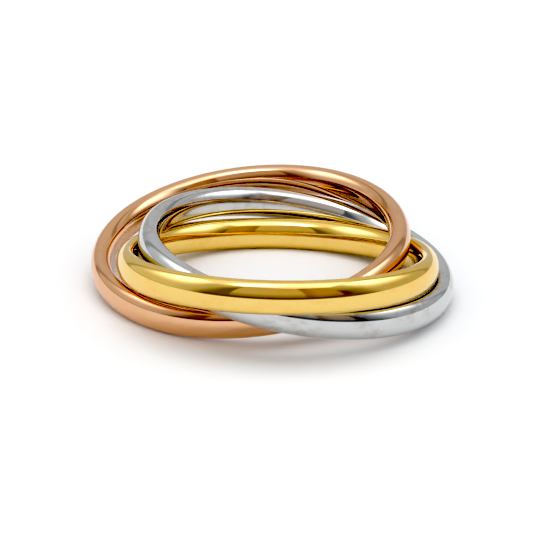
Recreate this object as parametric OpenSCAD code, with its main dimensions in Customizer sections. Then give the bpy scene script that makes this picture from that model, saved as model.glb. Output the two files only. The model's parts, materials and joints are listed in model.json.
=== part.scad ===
// Triple ring: three closed bands, each linked through the other two, lying flat as they settle on a table.
// The origin is on the table under the middle of the ring. X runs to the right, Y to the back, Z up.

/* [Bands] */
// Radius of the yellow and white bands, to the middle of their metal
band_radius = 10.3; // [9:0.1:12.5]
// Thickness of every band, from its inside to its outside
band_thickness = 1.5; // [1.3:0.05:1.85]
// Width of every band, measured along the finger
band_width = 2.24; // [1.7:0.02:3]
// Radius of each band's rounded edges, in half thicknesses
edge_roundness = 0.73; // [0.5:0.01:0.86]
// What the rose band has more in radius, in band thicknesses
rose_extra = 0.13; // [0.06:0.01:0.17]

/* [How the yellow band lies] */
// Bearing of its low side, counted from X toward Y
yellow_bearing = 89; // [87:1:90]
// Depth of its low side under its centre, in band widths
yellow_dip = 0.812; // [0.8:0.001:0.85]
// Way of its centre to the right, in band thicknesses
yellow_x = 0.14; // [0.1:0.01:0.22]
// Way of its centre to the back, in band thicknesses
yellow_y = -1.05; // [-1.18:0.01:-0.92]

/* [How the rose band lies] */
// Bearing of its low side, counted from X toward Y
rose_bearing = -138; // [-140:1:-136]
// Depth of its low side under its centre, in band widths
rose_dip = 0.74; // [0.732:0.001:0.785]
// Way of its centre to the right, in band thicknesses
rose_x = -1.14; // [-1.26:0.01:-1.1]
// Way of its centre to the back, in band thicknesses
rose_y = 1.2; // [1.15:0.01:1.32]

/* [How the white band lies] */
// Bearing of its low side, counted from X toward Y
white_bearing = 2; // [1:1:4]
// Depth of its low side under its centre, in band widths
white_dip = 0.715; // [0.702:0.001:0.748]
// Way of its centre to the right, in band thicknesses
white_x = 1; // [0.91:0.01:1.12]
// Way of its centre to the back, in band thicknesses
white_y = -0.15; // [-0.28:0.01:-0.1]

/* [Hidden] */

// Sides that a drawn band has round the finger, and that the full circles of its section's arcs have
band_sides = 120;
side_arc_sides = 96;
edge_arc_sides = 48;

rose_radius = band_radius + rose_extra * band_thickness;

// The oval section: a small arc rounds each edge, and a wide arc, tangent to both, is each of the two sides
half_thickness = band_thickness / 2;
half_width = band_width / 2;
edge_radius = edge_roundness * half_thickness;
edge_centre = half_width - edge_radius;
side_radius = (pow(edge_centre, 2) + pow(half_thickness, 2) - pow(edge_radius, 2))
    / (2 * (half_thickness - edge_radius));
side_centre = side_radius - half_thickness;
arcs_meet = side_radius * edge_centre / (side_radius - edge_radius);

// How far the section reaches from its centre in the unit direction [out, up], both positive
function section_reach(out, up) = out * edge_centre > up * side_centre
    ? side_radius - side_centre * out
    : edge_radius + edge_centre * up;

// How far a band of this radius reaches from its centre in a direction that is [out, up] from its own level
function band_reach(radius, out, up) = radius * out + section_reach(out, up);

// A band's row holds its radius, its lean from level, the bearing of its low side and its centre over the table
function lean(radius, dip) = asin(dip * band_width / radius);
function row(radius, bearing, dip, x, y) =
    let (tilt = lean(radius, dip))
    [radius, tilt, bearing, [x * band_thickness, y * band_thickness, band_reach(radius, sin(tilt), cos(tilt))]];

YELLOW = row(band_radius, yellow_bearing, yellow_dip, yellow_x, yellow_y);
ROSE = row(rose_radius, rose_bearing, rose_dip, rose_x, rose_y);
WHITE = row(band_radius, white_bearing, white_dip, white_x, white_y);
BANDS = [YELLOW, ROSE, WHITE];

// How far a leaning band reaches from its centre in the unit direction d
function axis(band) = [sin(band[1]) * cos(band[2]), sin(band[1]) * sin(band[2]), cos(band[1])];
function reach(band, d) =
    let (up = abs(axis(band) * d))
    band_reach(band[0], sqrt(1 - up * up), up);

// The middle of the box round all three bands, which goes over the origin
function box_middle(d) =
    (max([for (band = BANDS) band[3] * d + reach(band, d)])
    + min([for (band = BANDS) band[3] * d - reach(band, d)])) / 2;
middle = [box_middle([1, 0, 0]), box_middle([0, 1, 0]), 0];

module oval_section() {
    intersection() {
        translate([-side_centre, 0]) circle(r = side_radius, $fn = side_arc_sides);
        translate([side_centre, 0]) circle(r = side_radius, $fn = side_arc_sides);
        square([2 * side_radius, 2 * arcs_meet], center = true);
    }
    for (end = [-1, 1])
        translate([0, end * edge_centre]) circle(r = edge_radius, $fn = edge_arc_sides);
}

// A closed band of oval section, leaning as it lies between the other two
module lying_band(band) {
    translate(band[3] - middle)
        rotate([0, 0, band[2]])
        rotate([0, band[1], 0])
        rotate_extrude($fn = band_sides)
        translate([band[0], 0])
        oval_section();
}

module yellow_band() {
    color([0.93, 0.75, 0.36]) lying_band(YELLOW);
}

module rose_band() {
    color([0.87, 0.61, 0.46]) lying_band(ROSE);
}

module white_band() {
    color([0.82, 0.83, 0.84]) lying_band(WHITE);
}

yellow_band();
rose_band();
white_band();
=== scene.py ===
"""A triple ring: a yellow, a rose and a white gold band, linked together and lying on a pale table."""
import json
import math

import bpy
import numpy as np
from mathutils import Matrix, Vector


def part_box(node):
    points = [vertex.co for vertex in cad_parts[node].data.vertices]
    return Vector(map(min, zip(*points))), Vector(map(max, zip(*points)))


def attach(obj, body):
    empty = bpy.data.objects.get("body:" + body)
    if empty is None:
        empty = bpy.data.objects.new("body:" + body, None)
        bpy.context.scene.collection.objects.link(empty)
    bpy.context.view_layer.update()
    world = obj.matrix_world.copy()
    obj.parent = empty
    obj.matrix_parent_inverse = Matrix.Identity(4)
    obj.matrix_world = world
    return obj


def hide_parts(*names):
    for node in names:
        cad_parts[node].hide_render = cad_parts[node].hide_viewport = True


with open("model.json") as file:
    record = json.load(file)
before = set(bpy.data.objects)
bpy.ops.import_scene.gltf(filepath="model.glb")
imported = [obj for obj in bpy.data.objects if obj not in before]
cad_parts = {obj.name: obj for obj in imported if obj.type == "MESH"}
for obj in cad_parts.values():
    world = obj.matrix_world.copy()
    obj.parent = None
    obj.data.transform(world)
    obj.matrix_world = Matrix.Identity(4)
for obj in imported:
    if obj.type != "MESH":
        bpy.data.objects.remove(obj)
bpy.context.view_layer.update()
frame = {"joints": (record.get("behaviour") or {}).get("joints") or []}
joints = {joint["name"]: joint for joint in frame["joints"]}


# The camera
# A long lens close above the table, looking down on the ring from its front and turned a little
# on its own axis. The photo is a square, and the ring lies a little off its middle.
camera_data = bpy.data.cameras.new("camera")
camera = bpy.data.objects.new("camera", camera_data)
bpy.context.scene.collection.objects.link(camera)
bpy.context.scene.camera = camera

frame_side = 533
camera_height_angle = math.radians(22.65)
camera_roll = math.radians(0.88)
camera_distance = 0.1421
lens_in_pixels = 2031
ring_in_frame = (270.8, 291.6)

away = Vector((0, math.cos(camera_height_angle), -math.sin(camera_height_angle)))
level_right = Vector((1, 0, 0))
level_up = level_right.cross(away)
right = math.cos(camera_roll) * level_right + math.sin(camera_roll) * level_up
up = -math.sin(camera_roll) * level_right + math.cos(camera_roll) * level_up
off_right = (ring_in_frame[0] - frame_side / 2) / lens_in_pixels
off_up = (frame_side / 2 - ring_in_frame[1]) / lens_in_pixels
camera_place = -camera_distance * (away + off_right * right + off_up * up)
turn = Matrix((right, up, -away)).transposed()
camera.matrix_world = Matrix.Translation(camera_place) @ turn.to_4x4()
camera_data.sensor_width = 36
camera_data.lens = camera_data.sensor_width * lens_in_pixels / frame_side
camera_data.clip_start = 0.002
camera_data.clip_end = 20


# The yellow band
# A closed band of solid yellow gold, turned to an oval section and polished all over. It is closed
# through the two other bands before its joint is soldered, so it can't come off them; here it lies
# over both at the front.
band_thickness = 0.0015
band_width = 0.00224
band_radius = 0.0103


def tilted_axis(lean, bearing):
    """The axis of a band with its low side at the bearing: upright, leaned by that angle toward it."""
    return Vector((
        math.sin(lean) * math.cos(bearing),
        math.sin(lean) * math.sin(bearing),
        math.cos(lean),
    ))


def band_surface(centre, axis, radius, around=512, across=180):
    """Points of a band: the centre, plus radius + half the thickness * cos(v) along the spoke at
    the angle u, plus half the width * sin(v) along the axis. u runs once round the finger and v
    once round the oval section."""
    axis = np.array(axis) / np.linalg.norm(axis)
    first = np.cross([0, 1, 0], axis)
    first /= np.linalg.norm(first)
    second = np.cross(axis, first)
    u, v = np.meshgrid(
        np.linspace(0, 2 * np.pi, around, endpoint=False),
        np.linspace(0, 2 * np.pi, across, endpoint=False),
        indexing="ij",
    )
    spoke = np.cos(u)[..., None] * first + np.sin(u)[..., None] * second
    outward = radius + band_thickness / 2 * np.cos(v)
    along = band_width / 2 * np.sin(v)
    return np.array(centre) + outward[..., None] * spoke + along[..., None] * axis, u, v


def closed_grid(rows, columns):
    """Quads of a grid of points that closes on itself both ways."""
    i, j = np.meshgrid(np.arange(rows), np.arange(columns), indexing="ij")
    next_i, next_j = (i + 1) % rows, (j + 1) % columns
    corners = [
        i * columns + j,
        next_i * columns + j,
        next_i * columns + next_j,
        i * columns + next_j,
    ]
    return np.stack(corners, -1).reshape(-1, 4)


def band(name, centre, axis, radius, material):
    """A band's smooth mesh, with the attribute lie that patterns in the metal follow. Its first two
    numbers run round the finger on a circle as long as the band and its third round the section,
    all in millimetres."""
    points, u, v = band_surface(centre, axis, radius)
    mesh = bpy.data.meshes.new(name)
    mesh.from_pydata(points.reshape(-1, 3), [], closed_grid(*u.shape))
    mesh.shade_smooth()
    section_radius = (band_thickness + band_width) / 4
    lie = np.stack([radius * np.cos(u), radius * np.sin(u), section_radius * v], -1) * 1000
    mesh.attributes.new("lie", "FLOAT_VECTOR", "POINT").data.foreach_set("vector", lie.ravel())
    mesh.materials.append(material)
    piece = bpy.data.objects.new(name, mesh)
    bpy.context.scene.collection.objects.link(piece)
    return piece


class Wire:
    """One output in a tree of nodes. An expression on wires and numbers adds Math nodes."""

    def __init__(self, tree, socket):
        self.tree = tree
        self.socket = socket

    def math(self, operation, *values):
        return self.tree.node("ShaderNodeMath", {"operation": operation}, dict(enumerate(values)))

    def __add__(self, other):
        return self.math("ADD", self, other)

    def __radd__(self, other):
        return self.math("ADD", other, self)

    def __sub__(self, other):
        return self.math("SUBTRACT", self, other)

    def __rsub__(self, other):
        return self.math("SUBTRACT", other, self)

    def __mul__(self, other):
        return self.math("MULTIPLY", self, other)

    def __rmul__(self, other):
        return self.math("MULTIPLY", other, self)

    def step(self, low, high):
        """0 below low, 1 above high and smooth between; the other way round if low is above high."""
        rising = low < high
        start, end = (low, high) if rising else (high, low)
        at_start, at_end = (0.0, 1.0) if rising else (1.0, 0.0)
        return self.tree.node(
            "ShaderNodeMapRange",
            {"interpolation_type": "SMOOTHSTEP"},
            {"Value": self, "From Min": start, "From Max": end, "To Min": at_start, "To Max": at_end},
        )


class Tree:
    """The node tree of a material or of the world, emptied."""

    def __init__(self, owner):
        owner.use_nodes = True
        self.nodes = owner.node_tree.nodes
        self.links = owner.node_tree.links
        self.nodes.clear()

    def node(self, kind, settings=None, inputs=None, output=0):
        """Adds a node, sets it, gives its inputs values or wires, and returns a wire from one output."""
        made = self.nodes.new(kind)
        for name, value in (settings or {}).items():
            setattr(made, name, value)
        for name, value in (inputs or {}).items():
            if isinstance(value, Wire):
                self.links.new(value.socket, made.inputs[name])
            else:
                made.inputs[name].default_value = value
        return Wire(self, made.outputs[output]) if len(made.outputs) else None

    def noise(self, vector, scale, detail, roughness=0.5):
        inputs = {"Vector": vector, "Scale": scale, "Detail": detail, "Roughness": roughness}
        return self.node("ShaderNodeTexNoise", None, inputs)

    def stretched(self, vector, scale):
        return self.node("ShaderNodeVectorMath", {"operation": "MULTIPLY"}, {0: vector, 1: scale})

    def mix(self, factor, a, b):
        inputs = {"Factor": factor, "A": a, "B": b}
        return self.node("ShaderNodeMix", {"data_type": "RGBA"}, inputs, output="Result")


def polished_gold(name, colour, deep_colour, film_colour, pattern_shift):
    """Mirror polished gold: a clean face with a faint film of handling in soft patches and flecks,
    hairlines from polishing and from wear that run round the finger, and the slightest waviness of
    a hand-finished surface. Patterns are sized per millimetre of the band's lie."""
    material = bpy.data.materials.new(name)
    tree = Tree(material)
    lie = tree.node("ShaderNodeAttribute", {"attribute_name": "lie"}, output="Vector")
    shift = (0, 0, pattern_shift)
    lie = tree.node("ShaderNodeVectorMath", {"operation": "ADD"}, {0: lie, 1: shift})
    patches = tree.noise(lie, 0.3, 3.0).step(0.4, 0.62)
    flecks = tree.noise(tree.stretched(lie, (1.1, 1.1, 1.9)), 1.0, 5.0, 0.7)
    film = patches * flecks.step(0.42, 0.66)
    streaks = tree.noise(tree.stretched(lie, (0.5, 0.5, 14.0)), 1.0, 4.0, 0.6)
    hairlines = streaks.step(0.58, 0.75)
    waviness = tree.noise(lie, 0.22, 1.0)
    tone = tree.noise(lie, 0.16, 2.0).step(0.35, 0.7)
    metal = tree.mix(tone * 0.5, (*colour, 1), (*deep_colour, 1))
    surface = tree.mix(film * 0.85, metal, (*film_colour, 1))
    roughness = 0.035 + 0.06 * film + 0.03 * hairlines
    relief = waviness * 0.6 + streaks * 0.02
    relief_depth = 0.00002
    normal = tree.node(
        "ShaderNodeBump",
        None,
        {"Strength": 0.12, "Distance": relief_depth, "Height": relief},
        output="Normal",
    )
    shader = tree.node(
        "ShaderNodeBsdfPrincipled",
        None,
        {"Base Color": surface, "Metallic": 1.0, "Roughness": roughness, "Normal": normal},
    )
    tree.node("ShaderNodeOutputMaterial", None, {"Surface": shader})
    return material


# The depth of the band's low side under its centre, in band widths, and the low side's bearing.
yellow_dip = 0.812
yellow_bearing = math.radians(89)
yellow_lean = math.asin(yellow_dip * band_width / band_radius)
yellow_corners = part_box("yellow_band")
yellow_gold = polished_gold(
    "yellow_gold_polished",
    colour=(0.907, 0.667, 0.28),
    deep_colour=(0.893, 0.636, 0.249),
    film_colour=(0.879, 0.584, 0.223),
    pattern_shift=0.0,
)
yellow_band = band(
    "yellow_band_polished",
    (yellow_corners[0] + yellow_corners[1]) / 2,
    tilted_axis(yellow_lean, yellow_bearing),
    band_radius,
    yellow_gold,
)
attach(yellow_band, "yellow_band")
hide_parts("yellow_band")


# The rose band
# The same band in a gold alloyed with more copper, a little wider round the finger, and slipped
# through the yellow band. It lies over the others at the back and at its right, and under them at
# the front.
rose_extra = 0.13 * band_thickness
rose_gold = polished_gold(
    "rose_gold_polished",
    colour=(0.827, 0.532, 0.347),
    deep_colour=(0.803, 0.499, 0.318),
    film_colour=(0.779, 0.47, 0.299),
    pattern_shift=40.0,
)
rose_band = band(
    "rose_band_polished",
    joints["rose_spin"]["pos_m"],
    joints["rose_spin"]["axis"],
    band_radius + rose_extra,
    rose_gold,
)
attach(rose_band, "rose_band")
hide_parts("rose_band")


# The white band
# The same band in a gold whitened with palladium or nickel and plated bright, the last of the
# three to be closed through the others. It lies under the yellow band at the front and inside the
# rose one at the left.
white_gold = polished_gold(
    "white_gold_polished",
    colour=(0.661, 0.673, 0.67),
    deep_colour=(0.627, 0.63, 0.624),
    film_colour=(0.531, 0.492, 0.478),
    pattern_shift=80.0,
)
white_band = band(
    "white_band_polished",
    joints["white_spin"]["pos_m"],
    joints["white_spin"]["axis"],
    band_radius,
    white_gold,
)
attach(white_band, "white_band")
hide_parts("white_band")


# The table
# A plain pale sheet under the ring, wide enough that its far edge is a level line in the bands'
# reflections.
table_half = 3.0


def flat_sheet(name, corners, material):
    """A flat sheet with four corners."""
    mesh = bpy.data.meshes.new(name)
    mesh.from_pydata(corners, [], [(0, 1, 2, 3)])
    mesh.materials.append(material)
    sheet = bpy.data.objects.new(name, mesh)
    bpy.context.scene.collection.objects.link(sheet)
    return sheet


def level_corners(half, height):
    """The corners of a level square about the origin."""
    return [(-half, -half, height), (half, -half, height), (half, half, height), (-half, half, height)]


table_material = bpy.data.materials.new("pale_table")
table_tree = Tree(table_material)
table_face = table_tree.node("ShaderNodeBsdfDiffuse", None, {"Color": (0.86, 0.86, 0.86, 1)})
table_tree.node("ShaderNodeOutputMaterial", None, {"Surface": table_face})
table = flat_sheet("table", level_corners(table_half, 0), table_material)


# The light
# A soft white studio round the ring: a lit panel above it, a bright screen on either side, pale
# walls behind, and a grey screen in front with a dark gap under it and dark ends. The metal is all
# mirror and shows them, and one soft lamp above lights the table.
black_level = 0.12
studio_gain = 1.05
# More reflections would light up the gaps between the bands, which are dark lines.
reflections_kept = 3
view = bpy.context.scene.view_settings
view.view_transform = "Standard"
view.use_curve_mapping = True
view.curve_mapping.black_level = (black_level, black_level, black_level)
bpy.context.scene.cycles.glossy_bounces = reflections_kept

world = bpy.data.worlds.new("studio")
bpy.context.scene.world = world
studio = Tree(world)


def three_parts(tree, vector):
    """The three numbers of a vector, each on a wire of its own."""
    return [tree.node("ShaderNodeSeparateXYZ", None, {"Vector": vector}, output=axis) for axis in "XYZ"]


def between(value, rise_start, rise_end, fall_start, fall_end):
    """1 from rise_end to fall_start, 0 outside rise_start and fall_end, and smooth between."""
    return value.step(rise_start, rise_end) * value.step(fall_end, fall_start)


def blend(base, other, part):
    """base where part is 0 and other where it is 1."""
    return base + (other - base) * part


# Directions are given in degrees: side round from the front, to the right, and height over level.
toward = studio.node("ShaderNodeTexCoord", output="Generated")
x, y, z = three_parts(studio, toward)
in_degrees = 180 / math.pi
side = studio.node("ShaderNodeMath", {"operation": "ARCTAN2"}, {0: x, 1: y * -1.0}) * in_degrees
height = studio.node("ShaderNodeMath", {"operation": "ARCSINE"}, {0: z}) * in_degrees

walls = 0.61 + 0.12 * height.step(4, 45)
seams = between(side, -141, -136, -131, -126) + between(side, 126, 131, 136, 141)
walls = blend(walls, 0.44, seams * height.step(58, 50))

# The grey screen in front is darker toward its ends, and warmer in its middle and right of that.
front = between(side, -70, -52, 66, 84) * height.step(72, 56)
left_end = between(side, -66, -42, -35, -33)
middle = between(side, -35, -33, 46, 49)
right_of_middle = between(side, 19, 21, 46, 49)
right_end = between(side, 46, 49, 62, 86)
right_tip = between(side, 46, 49, 53, 58)
screen_level = blend(0.34, 0.61, height.step(10, 28))
right_level = 0.27 + 0.11 * height.step(12, 24) + 0.11 * side.step(23, 32)
screen_level = blend(screen_level, right_level, right_of_middle)
screen_level = blend(screen_level, 0.225 + 0.23 * height.step(38, 56), left_end)
screen_level = blend(screen_level, 0.24 + 0.20 * height.step(26, 42), right_end)
screen_level = blend(screen_level, 0.17 + 0.25 * height.step(26, 40), right_tip)
gap_under = height.step(11.5, 8.5)
studio_level = blend(walls, blend(screen_level, 0.185, gap_under), front) * studio_gain
warmth = front * (1.0 - gap_under) * (0.10 * middle + 0.12 * right_of_middle)
shown_in_metal = studio.node(
    "ShaderNodeCombineXYZ",
    None,
    {
        "X": studio_level,
        "Y": studio_level * (1.0 - warmth),
        "Z": studio_level * (1.0 - 1.6 * warmth),
    },
)

# Only the metal sees the walls and the screens, and only before the light has met the table. What
# lights the table instead is plain: a soft surround, a little stronger in front and faintly blue.
from_front = 1.0 - 0.45 * y
surround_tint = {"X": 0.925, "Y": 0.94, "Z": 0.967}
surround = studio.node(
    "ShaderNodeCombineXYZ",
    None,
    {axis: from_front * tint for axis, tint in surround_tint.items()},
)
after_table = studio.node("ShaderNodeLightPath", output="Diffuse Depth").step(0, 1)
straight_view = studio.node("ShaderNodeLightPath", output="Is Camera Ray")
shown = studio.mix(after_table, shown_in_metal, surround)
shown = studio.mix(straight_view, shown, (1, 1, 1, 1))
studio_light = studio.node("ShaderNodeBackground", None, {"Color": shown, "Strength": 1.0})
studio.node("ShaderNodeOutputWorld", None, {"Surface": studio_light})


def lit_screen(name, corners, glow_of):
    """A flat screen that only the metal sees, clear to light that has already met the table.
    glow_of gives its level and how solid it is, from its place in millimetres."""
    material = bpy.data.materials.new(name + "_glow")
    tree = Tree(material)
    place = tree.node("ShaderNodeTexCoord", output="Object")
    x, y, z = (part * 1000 for part in three_parts(tree, place))
    level, solid = glow_of(x, y, z)
    before_table = tree.node("ShaderNodeLightPath", output="Diffuse Depth").step(1, 0)
    lit = tree.node(
        "ShaderNodeEmission",
        None,
        {"Color": (1, 1, 1, 1), "Strength": level * studio_gain},
    )
    clear = tree.node("ShaderNodeBsdfTransparent", output="BSDF")
    face = tree.node("ShaderNodeMixShader", None, {"Fac": solid * before_table, 1: clear, 2: lit})
    tree.node("ShaderNodeOutputMaterial", None, {"Surface": face})
    screen = flat_sheet(name, corners, material)
    screen.visible_camera = False
    screen.visible_diffuse = False
    screen.visible_shadow = False


def panel_glow(x, y, z):
    """A lit panel with soft edges, brighter in its front part and most of all at that part's left."""
    core = between(x, -50, -28, 44, 62) * (y - 0.05 * x).step(-51.4, -42.6)
    core = core * (y - 0.4 * x).step(3, -15)
    lamp = between(x, -54, -34, -16, 16)
    solid = between(x, -76, -48, 60, 84) * (y + 0.35 * x).step(-70, -60)
    solid = solid * (y - 0.4 * x).step(-82, -70) * y.step(36, 12)
    return 1.05 + core * (0.75 + 2.2 * lamp), solid


def left_glow(x, y, z):
    """A pale screen, brightest high up beside the ring, that fades out toward the front and back."""
    glow = between(y, -44, -2, 8, 36) * z.step(18, 62)
    solid = (y + 0.4 * z).step(-53, -18) * y.step(46, 34) * between(z, 4, 10, 120, 150)
    return 0.60 + 0.12 * y.step(-36, -14) + 1.6 * glow, solid


def right_glow(x, y, z):
    """The right screen is like the left one, but evenly pale below its bright part."""
    glow = between(y, -40, 2, 12, 34) * z.step(17, 60)
    solid = (y + 0.4 * z).step(-42, -6) * y.step(46, 34) * between(z, 4, 10, 120, 150)
    return 0.58 + 1.8 * glow, solid


# The panel hangs face down.
panel_height = 0.092
panel_reach = 0.16
panel_corners = level_corners(panel_reach, panel_height)[::-1]
lit_screen("panel", panel_corners, panel_glow)

screen_away = 0.06
screen_reach = 0.08
screen_foot = 0.002
screen_top = 0.15
for name, place, glow_of in (
    ("left_screen", -screen_away, left_glow),
    ("right_screen", screen_away, right_glow),
):
    corners = [
        (place, -screen_reach, screen_foot),
        (place, screen_reach, screen_foot),
        (place, screen_reach, screen_top),
        (place, -screen_reach, screen_top),
    ]
    lit_screen(name, corners, glow_of)

# The one lamp lights the table softly from straight above, and the metal doesn't show it.
key_data = bpy.data.lights.new("key", "AREA")
key_data.shape = "RECTANGLE"
key_data.size = 0.9
key_data.size_y = 0.7
key_data.energy = 4.1
key = bpy.data.objects.new("key", key_data)
key.location = (0, 0, 1.1)
key.rotation_euler = (-Vector(key.location)).to_track_quat("-Z", "Y").to_euler()
key.visible_glossy = False
bpy.context.scene.collection.objects.link(key)
